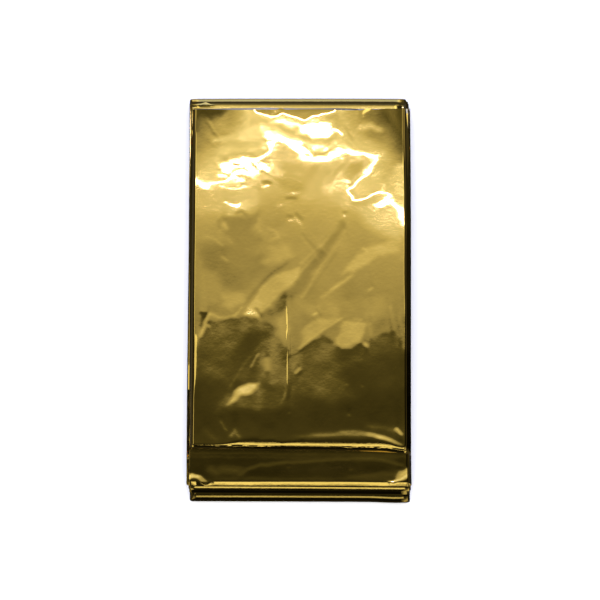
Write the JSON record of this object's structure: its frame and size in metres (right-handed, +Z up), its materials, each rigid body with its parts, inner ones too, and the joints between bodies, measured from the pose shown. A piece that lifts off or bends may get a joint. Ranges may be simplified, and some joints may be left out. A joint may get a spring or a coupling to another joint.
{
  "type": "emergency foil blanket",
  "caption": "Thin gold-coated film blanket folded back and forth into a small flat rectangular pack, for keeping a casualty warm.",
  "frame": {"origin": "middle of the pack's footprint, on the surface it lies on", "axes": "+Z up through the layers, +Y along the folded panels towards the end where the strip's free end lies on top, +X across the panels"},
  "size_m": [0.08, 0.144, 0.0192],
  "materials": {
    "gold_foil": "thin polyester film with an aluminium coat, tinted gold on its outer face and plain silver on the other, glossy and finely creased"
  },
  "bodies": {
    "root": {"blanket": "gold_foil"}
  },
  "joints": []
}
